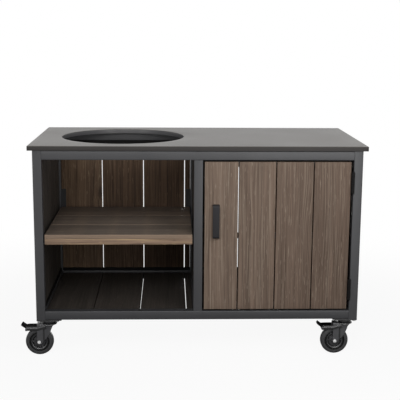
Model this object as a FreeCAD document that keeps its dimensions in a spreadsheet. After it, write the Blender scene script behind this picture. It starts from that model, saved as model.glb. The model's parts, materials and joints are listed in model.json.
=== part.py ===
import FreeCAD, Part
import math
import os
import Sketcher

# Kamado grill table: a welded tube frame on four swivel casters, clad with stained boards,
# with a stone worktop that has a round cut-out for the grill, an open bay with a shelf
# under the cut-out, and a cabinet with a hinged door beside it.
# Millimetres. Origin on the floor under the middle of the worktop, X along the table,
# Y towards its back, Z up.

doc = FreeCAD.newDocument("KamadoGrillTable")
sheet = doc.addObject("Spreadsheet::Sheet", "Sizes")

DRIVING_SIZES = {
    # worktop
    "worktop_length": 1500,
    "worktop_depth": 750,
    "worktop_thickness": 20,
    "worktop_edge": 1.5,
    "cutout_radius": 288,
    "cutout_offset": 348,
    "pad_length": 40,
    "pad_width": 30,
    "pad_thickness": 1.5,
    # welded frame
    "frame_length": 1456,
    "frame_depth": 738,
    "frame_height": 770,
    "tube_size": 40,
    "tube_wall": 2,
    "tube_corner": 2,
    # boards
    "board_thickness": 20,
    "board_width": 209,
    "board_gap": 4,
    "board_edge": 1,
    "board_play": 1,
    "side_board_count": 4,
    "floor_board_thickness": 25,
    "floor_height": 30,
    "strip_height": 15,
    "back_strip_height": 30,
    "strip_thickness": 5,
    "ledge_leg": 20,
    "ledge_reach": 25,
    "angle_thickness": 3,
    # shelf
    "shelf_height": 570,
    "shelf_end_play": 6,
    "shelf_batten_height": 25,
    "bearer_leg": 25,
    "strap_width": 24,
    "strap_height": 100,
    # door
    "door_gap_latch": 7.5,
    "door_gap_hinge": 11,
    "door_gap_end": 7.7,
    "door_recess": 2,
    "door_board_width": 162,
    "door_board_gap": 5,
    "door_bar_width": 25,
    "door_bar_depth": 15,
    "handle_width": 30,
    "handle_length": 152,
    "handle_thickness": 5,
    "handle_standoff": 25,
    "handle_inset": 36,
    "handle_bottom": 555,
    "catch_bottom": 590,
    "catch_length": 34,
    "catch_depth": 18,
    "catch_height": 60,
    "magnet_inset": 4,
    "magnet_length": 20,
    "magnet_height": 44,
    "magnet_gap": 0.4,
    "stop_drop": 15,
    "stop_lap": 10,
    "stop_thickness": 3,
    # hinges
    "hinge_inset": 4,
    "hinge_forward": 5.5,
    "hinge_radius": 8,
    "hinge_length": 96,
    "hinge_end_distance": 44,
    "hinge_pin_radius": 4.5,
    "hinge_pin_end": 6,
    "hinge_washer_gap": 0.4,
    "hinge_lug": 3,
    "hinge_lug_reach": 24,
    "hinge_lug_end": 4,
    "running_play": 0.06,
    # caster heads
    "caster_height": 171,
    "corner_plate_thickness": 4,
    "corner_plate_length": 112,
    "corner_plate_width": 95,
    "caster_plate_length": 102,
    "caster_plate_width": 85,
    "caster_plate_thickness": 3,
    "slot_length": 11,
    "slot_width": 9,
    "slot_pitch_long": 80,
    "slot_pitch_wide": 60,
    "bolt_head_radius": 7.5,
    "bolt_head_height": 5.3,
    "race_radius": 33,
    "race_height": 16,
    "race_gap": 2,
    "kingpin_radius": 6,
    "kingpin_head_radius": 10,
    "kingpin_head_height": 4,
    "kingpin_head_gap": 0.5,
    # forks
    "caster_trail": 44,
    "fork_gap": 40,
    "fork_thickness": 3,
    "crown_thickness": 4,
    "crown_radius": 37,
    "fork_heel": 9,
    "fork_eye": 12,
    "fork_sweep": 6,
    "fork_neck": 12,
    "fork_flare": 16,
    "fork_flare_height": 20,
    # wheels
    "wheel_radius": 63.5,
    "wheel_width": 36,
    "rim_radius": 43,
    "rim_flats": 24,
    "web_thickness": 24,
    "hub_radius": 14,
    "hub_length": 38,
    "axle_radius": 5,
    "axle_head_radius": 8,
    "axle_head_height": 5,
    "axle_nut_height": 7,
    # brake pedals
    "pedal_pivot_back": 18,
    "pedal_pivot_height": 139,
    "pedal_pin_radius": 3,
    "pedal_side_gap": 1,
    "pedal_strip": 3,
    "pedal_eye": 5,
    "pedal_window": 78,
    "pedal_reach": 109,
    "pedal_tip_rise": 13,
    "pedal_tip_lean": 4,
    "pedal_tip_half_width": 18,
    "shoe_depth": 22,
}

for row, (alias, value) in enumerate(DRIVING_SIZES.items(), start=1):
    sheet.set(f"A{row}", alias)
    sheet.set(f"B{row}", str(value))
    sheet.setAlias(f"B{row}", alias)
doc.recompute()


class Size:
    """A length with its present number and the sheet expression that drives it."""

    def __init__(self, number, text):
        self.number = number
        self.text = text

    def __add__(self, other):
        other = as_size(other)
        return Size(self.number + other.number, f"({self.text} + {other.text})")

    def __sub__(self, other):
        other = as_size(other)
        return Size(self.number - other.number, f"({self.text} - {other.text})")

    def __mul__(self, factor):
        factor = as_size(factor)
        return Size(self.number * factor.number, f"({self.text} * {factor.text})")

    def __truediv__(self, divisor):
        divisor = as_size(divisor)
        return Size(self.number / divisor.number, f"({self.text} / {divisor.text})")

    def __neg__(self):
        return Size(-self.number, f"(0 - {self.text})")

    def __radd__(self, other):
        return as_size(other) + self

    def __rsub__(self, other):
        return as_size(other) - self

    def __rmul__(self, other):
        return as_size(other) * self


def as_size(value):
    """Turn a plain number into a Size, and leave a Size as it is."""
    if isinstance(value, Size):
        return value
    return Size(float(value), f"({value})")


def size(alias):
    """The sheet cell with this alias."""
    return Size(float(DRIVING_SIZES[alias]), f"Sizes.{alias}")


def bind(item, **sizes):
    """Tie properties of a document object to their sheet expressions."""
    for name, value in sizes.items():
        item.setExpression(name, as_size(value).text)


def place(item, x=0, y=0, z=0, rotation=None):
    """Turn an object, then put its origin at x, y, z."""
    if rotation is not None:
        item.Placement = FreeCAD.Placement(FreeCAD.Vector(0, 0, 0), rotation)
    item.setExpression("Placement.Base.x", as_size(x).text)
    item.setExpression("Placement.Base.y", as_size(y).text)
    item.setExpression("Placement.Base.z", as_size(z).text)


X_AXIS = FreeCAD.Vector(1, 0, 0)
Y_AXIS = FreeCAD.Vector(0, 1, 0)
Z_AXIS = FreeCAD.Vector(0, 0, 1)
UPRIGHT = FreeCAD.Rotation()
ALONG_X = FreeCAD.Rotation(Y_AXIS, 90)
ALONG_Y = FreeCAD.Rotation(X_AXIS, -90)
HALF_TURN = FreeCAD.Rotation(Z_AXIS, 180)
MIDDLE = as_size(0)
TINY = 0.001

parts = {}


def finish(item, node):
    """Register an object as the sub-part called node."""
    item.Label = node
    parts[node] = item
    return item


def group(node, items):
    """Several separate solids that share one node."""
    bundle = doc.addObject("Part::Compound", node)
    bundle.Links = items
    return finish(bundle, node)


# Building blocks

def box(name, x, y, z, length, width, height):
    """A plain block with its low corner at x, y, z."""
    block = doc.addObject("Part::Box", name)
    bind(block, Length=length, Width=width, Height=height)
    place(block, x, y, z)
    return block


def cylinder(name, x, y, z, radius, height):
    """An upright round bar that starts at x, y, z."""
    bar = doc.addObject("Part::Cylinder", name)
    bind(bar, Radius=radius, Height=height)
    place(bar, x, y, z)
    return bar


def hexagon(name, x, y, z, radius, height, rotation=UPRIGHT):
    """A six-sided bolt head or nut that starts at x, y, z."""
    block = doc.addObject("Part::Prism", name)
    block.Polygon = 6
    bind(block, Circumradius=radius, Height=height)
    place(block, x, y, z, rotation)
    return block


def fuse(name, items):
    """One solid from several that touch."""
    whole = doc.addObject("Part::MultiFuse", name)
    whole.Shapes = items
    return whole


def long_edges(shape, direction):
    """Numbers of the straight edges that run along direction."""
    numbers = []
    for index, edge in enumerate(shape.Edges, start=1):
        run = edge.Vertexes[-1].Point - edge.Vertexes[0].Point
        if run.Length > 0 and abs(abs(run.normalize().dot(direction)) - 1) < TINY:
            numbers.append(index)
    return numbers


def board(name, grain, x, y, z, length, width, height):
    """A sawn board whose four edges along the grain are eased."""
    blank = box(name + "_blank", x, y, z, length, width, height)
    doc.recompute()
    eased = doc.addObject("Part::Chamfer", name)
    eased.Base = blank
    ease = size("board_edge").number
    eased.Edges = [(edge, ease, ease) for edge in long_edges(blank.Shape, grain)]
    return eased


def new_body(name):
    """An empty body at the origin."""
    return doc.addObject("PartDesign::Body", name)


def new_sketch(body, role, name):
    """An empty sketch on one of the body's own origin planes."""
    sketch = body.newObject("Sketcher::SketchObject", name)
    plane = [item for item in body.Origin.OriginFeatures if item.Role == role][0]
    sketch.AttachmentSupport = [(plane, "")]
    sketch.MapMode = "FlatFace"
    return sketch


def hold(sketch, kind, where, value):
    """A measured constraint that its sheet expression drives."""
    value = as_size(value)
    held = sketch.addConstraint(Sketcher.Constraint(kind, *where, value.number))
    sketch.setExpression(f"Constraints[{held}]", value.text)


def outline(body, role, loops, name):
    """A sketch of closed outlines, each point held at its distances from the origin."""
    sketch = new_sketch(body, role, name)
    for points in loops:
        points = [(as_size(across), as_size(up)) for across, up in points]
        first = sketch.GeometryCount
        spots = [FreeCAD.Vector(across.number, up.number, 0) for across, up in points]
        for start, end in zip(spots, spots[1:] + spots[:1]):
            sketch.addGeometry(Part.LineSegment(start, end), False)
        for step, (across, up) in enumerate(points):
            line = first + step
            before = first + (step - 1) % len(points)
            sketch.addConstraint(Sketcher.Constraint("Coincident", before, 2, line, 1))
            hold(sketch, "DistanceX", (-1, 1, line, 1), across)
            hold(sketch, "DistanceY", (-1, 1, line, 1), up)
    return sketch


def circle(body, role, across, up, radius, name):
    """A sketch of one circle, held by its centre and its radius."""
    sketch = new_sketch(body, role, name)
    centre = FreeCAD.Vector(as_size(across).number, as_size(up).number, 0)
    sketch.addGeometry(Part.Circle(centre, Z_AXIS, as_size(radius).number), False)
    hold(sketch, "DistanceX", (-1, 1, 0, 3), across)
    hold(sketch, "DistanceY", (-1, 1, 0, 3), up)
    hold(sketch, "Radius", (0,), radius)
    return sketch


def rectangle(half_length, half_width):
    """A closed outline centred on the origin."""
    return [
        (-half_length, -half_width),
        (half_length, -half_width),
        (half_length, half_width),
        (-half_length, half_width),
    ]


def pad(body, sketch, length, middle=False, name="Pad"):
    """Extrude a sketch, to one side or to both alike."""
    feature = body.newObject("PartDesign::Pad", name)
    feature.Profile = sketch
    bind(feature, Length=length)
    feature.Midplane = middle
    return feature


def pocket(body, sketch, name="Pocket"):
    """Cut a sketch right through the body, both ways."""
    feature = body.newObject("PartDesign::Pocket", name)
    feature.Profile = sketch
    feature.Type = 1
    feature.Midplane = True
    return feature


def revolve(body, sketch, name="Revolution"):
    """Turn a sketch once round its own vertical axis."""
    feature = body.newObject("PartDesign::Revolution", name)
    feature.Profile = sketch
    feature.ReferenceAxis = (sketch, ["V_Axis"])
    feature.Angle = 360
    return feature


def tube(node, length, x, y, z, rotation):
    """A length of square tube with eased corners, its centre line starting at x, y, z."""
    half = size("tube_size") / 2
    inner = half - size("tube_wall")
    body = new_body(node)
    section = [rectangle(half, half), rectangle(inner, inner)]
    bar = pad(body, outline(body, "XY_Plane", section, node + "_section"), length,
              name=node + "_bar")
    doc.recompute()
    corners = []
    for index in long_edges(bar.Shape, Z_AXIS):
        point = bar.Shape.Edges[index - 1].Vertexes[0].Point
        if abs(point.x) > inner.number + TINY:
            corners.append(f"Edge{index}")
    eased = body.newObject("PartDesign::Chamfer", node + "_corners")
    eased.Base = (bar, corners)
    bind(eased, Size=size("tube_corner"))
    place(body, x, y, z, rotation)
    return finish(body, node)


def angle_bar(name, length, across, up, x, y, z, rotation=ALONG_X):
    """A steel angle along its own Z axis: one leg across, one leg up, heel at the origin."""
    wall_across = size("angle_thickness") * math.copysign(1, across.number)
    wall_up = size("angle_thickness") * math.copysign(1, up.number)
    body = new_body(name)
    section = [
        (0, 0),
        (across, 0),
        (across, wall_up),
        (wall_across, wall_up),
        (wall_across, up),
        (0, up),
    ]
    sketch = outline(body, "XY_Plane", [section], name + "_section")
    pad(body, sketch, length, name=name + "_bar")
    place(body, x, y, z, rotation)
    return body


# Places that the driving sizes give

BOARD = size("board_thickness")
HALF_BOARD = BOARD / 2
TUBE = size("tube_size")
HALF_TUBE = TUBE / 2
PLAY = size("board_play")
PITCH = size("board_width") + size("board_gap")

PLATE_TOP = size("caster_height")
FRAME_BOTTOM = PLATE_TOP + size("corner_plate_thickness")
FRAME_TOP = FRAME_BOTTOM + size("frame_height")
RAIL_TOP = FRAME_BOTTOM + TUBE
LINTEL = FRAME_TOP - TUBE
SLAB_BOTTOM = FRAME_TOP + size("pad_thickness")

FRAME_RIGHT = size("frame_length") / 2
FRAME_LEFT = -FRAME_RIGHT
FRAME_BACK = size("frame_depth") / 2
FRAME_FRONT = -FRAME_BACK
INNER_RIGHT = FRAME_RIGHT - TUBE
INNER_LEFT = -INNER_RIGHT
INNER_BACK = FRAME_BACK - TUBE
INNER_FRONT = -INNER_BACK
TUBE_RIGHT = FRAME_RIGHT - HALF_TUBE
TUBE_LEFT = -TUBE_RIGHT
TUBE_BACK = FRAME_BACK - HALF_TUBE
TUBE_FRONT = -TUBE_BACK
BAYS = {"left": (INNER_LEFT, -HALF_TUBE), "right": (HALF_TUBE, INNER_RIGHT)}

FLOOR_TOP = FRAME_BOTTOM + size("floor_height")
FLOOR_BOTTOM = FLOOR_TOP - size("floor_board_thickness")
LEDGE_CLEAR = size("angle_thickness") + PLAY


# Stone worktop

def make_worktop():
    """A slab with a round cut-out over the left bay, its top edges eased all round."""
    thick = size("worktop_thickness")
    body = new_body("worktop")
    slab = rectangle(size("worktop_length") / 2, size("worktop_depth") / 2)
    plan = outline(body, "XY_Plane", [slab], "worktop_plan")
    pad(body, plan, thick, name="worktop_slab")
    doc.recompute()
    ring = circle(body, "XY_Plane", -size("cutout_offset"), MIDDLE,
                  size("cutout_radius"), "worktop_cutout")
    cut = pocket(body, ring, "worktop_opening")
    doc.recompute()
    eased = []
    for index, edge in enumerate(cut.Shape.Edges, start=1):
        if all(abs(corner.Point.z - thick.number) < TINY for corner in edge.Vertexes):
            eased.append(f"Edge{index}")
    easing = body.newObject("PartDesign::Chamfer", "worktop_edges")
    easing.Base = (cut, eased)
    bind(easing, Size=size("worktop_edge"))
    place(body, 0, 0, SLAB_BOTTOM)
    finish(body, "worktop")


def make_worktop_pads():
    """Rubber pads between the frame and the slab, along every top rail."""
    across = [TUBE_LEFT, TUBE_LEFT / 2, MIDDLE, TUBE_RIGHT / 2, TUBE_RIGHT]
    spots = [(x, y) for x in across for y in (TUBE_FRONT, TUBE_BACK)]
    spots += [(x, MIDDLE) for x in (TUBE_LEFT, MIDDLE, TUBE_RIGHT)]
    length = size("pad_length")
    width = size("pad_width")
    pads = []
    for number, (x, y) in enumerate(spots, start=1):
        pads.append(box(f"worktop_pad_{number}", x - length / 2, y - width / 2, FRAME_TOP,
                        length, width, size("pad_thickness")))
    group("worktop_pads", pads)


# Welded tube frame

def make_frame():
    """Corner posts from bottom to top, with rails and centre posts butted between them."""
    corners = {
        "front_left_post": (TUBE_LEFT, TUBE_FRONT),
        "front_right_post": (TUBE_RIGHT, TUBE_FRONT),
        "rear_left_post": (TUBE_LEFT, TUBE_BACK),
        "rear_right_post": (TUBE_RIGHT, TUBE_BACK),
    }
    for node, (x, y) in corners.items():
        tube(node, size("frame_height"), x, y, FRAME_BOTTOM, UPRIGHT)
    for node, y in (("front_centre_post", TUBE_FRONT), ("rear_centre_post", TUBE_BACK)):
        tube(node, size("frame_height") - 2 * TUBE, 0, y, RAIL_TOP, UPRIGHT)

    along = size("frame_length") - 2 * TUBE
    deep = size("frame_depth") - 2 * TUBE
    heights = {"bottom": FRAME_BOTTOM + HALF_TUBE, "top": FRAME_TOP - HALF_TUBE}
    for level, z in heights.items():
        tube(f"front_{level}_rail", along, INNER_LEFT, TUBE_FRONT, z, ALONG_X)
        tube(f"rear_{level}_rail", along, INNER_LEFT, TUBE_BACK, z, ALONG_X)
        tube(f"left_{level}_rail", deep, TUBE_LEFT, INNER_FRONT, z, ALONG_Y)
        tube(f"right_{level}_rail", deep, TUBE_RIGHT, INNER_FRONT, z, ALONG_Y)
        tube(f"centre_{level}_rail", deep, 0, INNER_FRONT, z, ALONG_Y)


# Boards and what holds them

def bay_boards(name, start, end, y, depth, z, height, grain):
    """Three full boards from the left of a bay, then one ripped to fill it."""
    boards = []
    for number in range(3):
        x = start + number * PITCH
        boards.append(board(
            f"{name}_{number + 1}", grain, x, y, z, size("board_width"), depth, height))
    x = start + 3 * PITCH
    boards.append(board(f"{name}_4", grain, x, y, z, end - x, depth, height))
    return boards


def make_back_and_floor_boards():
    """Upright back boards, and floor boards that run from front to back, in both bays."""
    back = []
    floor = []
    height = LINTEL - RAIL_TOP - 2 * PLAY
    depth = 2 * INNER_BACK - 2 * LEDGE_CLEAR
    for side, (start, end) in BAYS.items():
        back += bay_boards(
            f"back_board_{side}", start + PLAY, end - PLAY,
            TUBE_BACK - HALF_BOARD, BOARD, RAIL_TOP + PLAY, height, Z_AXIS)
        floor += bay_boards(
            f"floor_board_{side}", start + PLAY, end - PLAY,
            INNER_FRONT + LEDGE_CLEAR, depth, FLOOR_BOTTOM, FLOOR_TOP - FLOOR_BOTTOM,
            Y_AXIS)
    group("back_boards", back)
    group("floor_boards", floor)


def make_side_boards():
    """Upright boards in both ends and in the partition, centred in the tubes."""
    count = size("side_board_count")
    gap = size("board_gap")
    width = (2 * INNER_BACK - 2 * PLAY - (count - 1) * gap) / count
    height = LINTEL - RAIL_TOP - 2 * PLAY
    walls = {
        "left_side_boards": TUBE_LEFT,
        "right_side_boards": TUBE_RIGHT,
        "partition_boards": MIDDLE,
    }
    for node, middle in walls.items():
        boards = []
        for number in range(int(count.number)):
            y = INNER_FRONT + PLAY + number * (width + gap)
            boards.append(board(
                f"{node}_{number + 1}", Z_AXIS,
                middle - HALF_BOARD, y, RAIL_TOP + PLAY, BOARD, width, height))
        group(node, boards)


def make_board_strips():
    """Flat steel welded to the rails: strips behind the boards, and a stop above the door."""
    deep = size("strip_thickness")
    inside_faces = {
        "left": TUBE_LEFT + HALF_BOARD,
        "right": TUBE_RIGHT - HALF_BOARD - deep,
        "partition": HALF_BOARD,
    }
    back_heights = {"bottom": size("strip_height"), "top": size("back_strip_height")}
    strips = []
    for level, back_height in back_heights.items():
        back_z = RAIL_TOP if level == "bottom" else LINTEL - back_height
        side_z = RAIL_TOP if level == "bottom" else LINTEL - size("strip_height")
        for side, (start, end) in BAYS.items():
            strips.append(box(
                f"back_strip_{side}_{level}", start, TUBE_BACK - HALF_BOARD - deep, back_z,
                end - start, deep, back_height))
        for wall, x in inside_faces.items():
            strips.append(box(
                f"{wall}_strip_{level}", x, INNER_FRONT, side_z,
                deep, 2 * INNER_BACK, size("strip_height")))
    start, end = BAYS["right"]
    drop = size("stop_drop")
    strips.append(box("door_stop", start, INNER_FRONT, LINTEL - drop,
                      end - start, size("stop_thickness"), drop + size("stop_lap")))
    group("board_strips", strips)


def make_floor_ledges():
    """Steel angles on the front and rear bottom rails that carry the floor boards."""
    leg = size("ledge_leg")
    reach = size("ledge_reach")
    z = FLOOR_BOTTOM - size("angle_thickness")
    ledges = []
    for side, (start, end) in BAYS.items():
        ledges.append(angle_bar(
            f"ledge_{side}_front", end - start, -leg, reach, start, INNER_FRONT, z))
        ledges.append(angle_bar(
            f"ledge_{side}_rear", end - start, -leg, -reach, start, INNER_BACK, z))
    group("floor_ledges", ledges)


# Shelf

def make_shelf():
    """Three boards between the posts on two battens, carried by steel angles."""
    start = INNER_LEFT + size("shelf_end_play")
    length = -HALF_TUBE - size("shelf_end_play") - start
    bottom = size("shelf_height") - BOARD
    planks = []
    for number in range(3):
        planks.append(board(
            f"shelf_plank_{number + 1}", X_AXIS, start, FRAME_FRONT + number * PITCH, bottom,
            length, size("board_width"), BOARD))
    group("shelf_planks", planks)

    leg = size("bearer_leg")
    high = size("shelf_batten_height")
    rear_edge = FRAME_FRONT + 2 * PITCH + size("board_width")
    group("shelf_battens", [
        board("shelf_batten_front", X_AXIS, start, FRAME_FRONT, bottom - high,
              length, BOARD, high),
        board("shelf_batten_rear", X_AXIS, start + leg, rear_edge - BOARD, bottom - high,
              length - 2 * leg, BOARD, high),
    ])

    flat = size("angle_thickness")
    wide = size("strap_width")
    bearer_front = FRAME_FRONT + BOARD + PLAY
    strap_y = TUBE_BACK - HALF_BOARD - flat
    strap_height = size("strap_height") + leg
    run = strap_y - bearer_front
    group("shelf_bearers", [
        angle_bar("shelf_bearer_left", run, leg, leg, INNER_LEFT, bearer_front, bottom,
                  ALONG_Y),
        angle_bar("shelf_bearer_right", run, -leg, leg, -HALF_TUBE, bearer_front, bottom,
                  ALONG_Y),
        box("shelf_strap_left", INNER_LEFT, strap_y, bottom - leg, wide, flat, strap_height),
        box("shelf_strap_right", -HALF_TUBE - wide, strap_y, bottom - leg,
            wide, flat, strap_height),
    ])


# Door

DOOR_LEFT = HALF_TUBE + size("door_gap_latch")
DOOR_RIGHT = INNER_RIGHT - size("door_gap_hinge")
DOOR_BOTTOM = RAIL_TOP + size("door_gap_end")
DOOR_TOP = LINTEL - size("door_gap_end")
DOOR_FRONT = FRAME_FRONT + size("door_recess")
DOOR_BOARD_BACK = DOOR_FRONT + BOARD
DOOR_BACK = DOOR_BOARD_BACK + size("door_bar_depth")


def make_door():
    """Four upright boards, counted from the hinges, on a steel frame behind them."""
    width = size("door_board_width")
    step = width + size("door_board_gap")
    height = DOOR_TOP - DOOR_BOTTOM
    boards = []
    for number in range(3):
        x = DOOR_RIGHT - width - number * step
        boards.append(board(
            f"door_board_{number + 1}", Z_AXIS, x, DOOR_FRONT, DOOR_BOTTOM,
            width, BOARD, height))
    rest = DOOR_RIGHT - 3 * step - DOOR_LEFT
    boards.append(board(
        "door_board_4", Z_AXIS, DOOR_LEFT, DOOR_FRONT, DOOR_BOTTOM, rest, BOARD, height))
    group("door_boards", boards)

    bar = size("door_bar_width")
    deep = size("door_bar_depth")
    bars = []
    for side, x in (("latch", DOOR_LEFT), ("hinge", DOOR_RIGHT - bar)):
        bars.append(box(
            f"door_bar_{side}", x, DOOR_BOARD_BACK, DOOR_BOTTOM, bar, deep, height))
    levels = {
        "bottom": DOOR_BOTTOM,
        "middle": (DOOR_BOTTOM + DOOR_TOP - bar) / 2,
        "top": DOOR_TOP - bar,
    }
    for level, z in levels.items():
        bars.append(box(
            f"door_bar_{level}", DOOR_LEFT + bar, DOOR_BOARD_BACK, z,
            DOOR_RIGHT - DOOR_LEFT - 2 * bar, deep, bar))
    group("door_frame", bars)


def make_handle():
    """A flat bar bent into a bow, standing off the board beside the latch."""
    reach = size("handle_standoff")
    high = size("handle_length")
    thick = size("handle_thickness")
    body = new_body("door_handle")
    bow = [
        (0, 0),
        (-reach, 0),
        (-reach, high),
        (0, high),
        (0, high - thick),
        (thick - reach, high - thick),
        (thick - reach, thick),
        (0, thick),
    ]
    sketch = outline(body, "YZ_Plane", [bow], "door_handle_bow")
    bar = pad(body, sketch, size("handle_width"), name="door_handle_bar")
    doc.recompute()
    bends = []
    for index in long_edges(bar.Shape, X_AXIS):
        spot = bar.Shape.Edges[index - 1].Vertexes[0].Point
        if abs(spot.y + reach.number) < TINY:
            bends.append(f"Edge{index}")
    rounded = body.newObject("PartDesign::Fillet", "door_handle_bends")
    rounded.Base = (bar, bends)
    bind(rounded, Radius=thick)
    place(body, DOOR_LEFT + size("handle_inset"), DOOR_FRONT, size("handle_bottom"))
    finish(body, "door_handle")


def make_catch():
    """A magnet catch on the partition that the door's steel frame closes against."""
    bottom = size("catch_bottom")
    high = size("catch_height")
    magnet_high = size("magnet_height")
    foot = box("catch_foot", HALF_BOARD + size("strip_thickness"), INNER_FRONT, bottom,
               size("catch_length"), size("catch_depth"), high)
    face = DOOR_BACK + size("magnet_gap")
    magnet = box("catch_magnet", HALF_TUBE + size("magnet_inset"), face,
                 bottom + (high - magnet_high) / 2,
                 size("magnet_length"), INNER_FRONT - face, magnet_high)
    finish(fuse("door_catch", [foot, magnet]), "door_catch")


# Hinges

# The barrels stand in front of the gap beside the door, against the post's eased corner.
HINGE_X = INNER_RIGHT - size("hinge_inset")
HINGE_Y = FRAME_FRONT - size("hinge_forward")


def make_hinge(name, bottom):
    """A weld-on barrel hinge: a half with the pin on the post, a bored half on the door."""
    half = size("hinge_length") / 2
    radius = size("hinge_radius")
    lug = size("hinge_lug")
    end = size("hinge_lug_end")
    lug_height = half - 2 * end

    lower = cylinder(f"{name}_post_barrel", HINGE_X, HINGE_Y, bottom, radius, half)
    pin = cylinder(f"{name}_pin", HINGE_X, HINGE_Y, bottom, size("hinge_pin_radius"),
                   size("hinge_length") - size("hinge_pin_end"))
    post_lug = box(f"{name}_post_lug", INNER_RIGHT - lug, HINGE_Y, bottom + end,
                   lug, size("hinge_lug_reach"), lug_height)
    finish(fuse(f"{name}_post_half", [lower, pin, post_lug]), f"{name}_post_half")

    gap = size("hinge_washer_gap")
    upper = cylinder(f"{name}_door_barrel", HINGE_X, HINGE_Y, bottom + half + gap,
                     radius, half - gap)
    door_lug = box(f"{name}_door_lug", DOOR_RIGHT, HINGE_Y, bottom + half + end,
                   lug, DOOR_BACK - HINGE_Y - PLAY, lug_height)
    bore = cylinder(f"{name}_bore", HINGE_X, HINGE_Y, bottom + half,
                    size("hinge_pin_radius") + size("running_play"),
                    half - size("hinge_pin_end") + PLAY)
    door_half = doc.addObject("Part::Cut", f"{name}_door_half")
    door_half.Base = fuse(f"{name}_door_blank", [upper, door_lug])
    door_half.Tool = bore
    finish(door_half, f"{name}_door_half")


# Caster heads

SWIVEL_X = FRAME_RIGHT - size("caster_plate_length") / 2
SWIVEL_Y = FRAME_BACK - size("caster_plate_width") / 2
CORNERS = {
    "front_left": (-SWIVEL_X, -SWIVEL_Y, UPRIGHT),
    "front_right": (SWIVEL_X, -SWIVEL_Y, UPRIGHT),
    "rear_left": (-SWIVEL_X, SWIVEL_Y, UPRIGHT),
    "rear_right": (SWIVEL_X, SWIVEL_Y, HALF_TURN),
}
PLATE_UNDER = PLATE_TOP - size("caster_plate_thickness")
CROWN_TOP = PLATE_UNDER - size("race_height") - size("race_gap")
CROWN_BOTTOM = CROWN_TOP - size("crown_thickness")
HALF_FORK = size("fork_gap") / 2
FORK_FACE = HALF_FORK + size("fork_thickness")
PEAK_OF_BOW = 1 / 4


def slot_centres():
    """Centres of a caster plate's four slots, about the swivel axis."""
    x = size("slot_pitch_long") / 2
    y = size("slot_pitch_wide") / 2
    return [(-x, -y), (x, -y), (x, y), (-x, y)]


def make_corner_plates():
    """Plates welded under the frame's corners, which the casters are bolted to."""
    length = size("corner_plate_length")
    width = size("corner_plate_width")
    plates = []
    for corner, (x, y, _) in CORNERS.items():
        left = FRAME_LEFT if x.number < 0 else FRAME_RIGHT - length
        front = FRAME_FRONT if y.number < 0 else FRAME_BACK - width
        plates.append(box(f"{corner}_corner_plate", left, front, PLATE_TOP,
                          length, width, size("corner_plate_thickness")))
    group("corner_plates", plates)


def make_caster_plates():
    """Slotted top plates, each with its pressed ball race and its riveted kingpin."""
    race = size("race_radius")
    pin = size("kingpin_radius")
    head = size("kingpin_head_radius")
    race_bottom = -size("race_height")
    head_top = CROWN_BOTTOM - size("kingpin_head_gap") - PLATE_UNDER
    head_bottom = head_top - size("kingpin_head_height")
    plates = []
    for corner, (x, y, turn) in CORNERS.items():
        body = new_body(f"{corner}_caster_plate")
        loops = [rectangle(size("caster_plate_length") / 2, size("caster_plate_width") / 2)]
        for across, along in slot_centres():
            slot = rectangle(size("slot_length") / 2, size("slot_width") / 2)
            loops.append([(across + right, along + back) for right, back in slot])
        plan = outline(body, "XY_Plane", loops, f"{corner}_plate_plan")
        pad(body, plan, size("caster_plate_thickness"), name=f"{corner}_plate_blank")
        section = [
            (0, 0),
            (race, 0),
            (race, race_bottom),
            (pin, race_bottom),
            (pin, head_top),
            (head, head_top),
            (head, head_bottom),
            (0, head_bottom),
        ]
        profile = outline(body, "XZ_Plane", [section], f"{corner}_race_profile")
        revolve(body, profile, f"{corner}_race")
        place(body, x, y, PLATE_UNDER, turn)
        plates.append(body)
    group("caster_plates", plates)


def make_caster_bolts():
    """The heads of the bolts under the caster plates; their shanks are hidden in the slots."""
    high = size("bolt_head_height")
    bolts = []
    for corner, (x, y, _) in CORNERS.items():
        for number, (across, along) in enumerate(slot_centres(), start=1):
            bolts.append(hexagon(
                f"{corner}_bolt_{number}", x + across, y + along, PLATE_UNDER - high,
                size("bolt_head_radius"), high))
    group("caster_bolts", bolts)


# Forks, wheels and brake pedals

def fork_side():
    """The fork seen from the side: upright heel, round eye, a bowed front and a flared neck."""
    axle_x = -size("caster_trail")
    axle_z = size("wheel_radius")
    eye = size("fork_eye")
    heel = axle_x - size("fork_heel")
    toe_x = axle_x + eye
    toe_z = axle_z - eye / 2
    side = [
        (heel, CROWN_TOP),
        (heel, toe_z),
        (axle_x - eye / 3, axle_z - eye),
        (axle_x + eye / 3, axle_z - eye),
        (toe_x, toe_z),
    ]
    neck = size("fork_neck")
    flare_height = size("fork_flare_height")
    neck_z = CROWN_BOTTOM - flare_height
    steps = 4
    for step in range(1, steps):
        share = step / steps
        bow = size("fork_sweep") * (share * (1 - share) / PEAK_OF_BOW)
        side.append((toe_x + (neck - toe_x) * share + bow, toe_z + (neck_z - toe_z) * share))
    for step in range(steps + 1):
        share = step / steps
        flare = size("fork_flare") * share ** 2
        side.append((neck + flare, neck_z + flare_height * share))
    side.append((neck + size("fork_flare"), CROWN_TOP))
    return side


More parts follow.
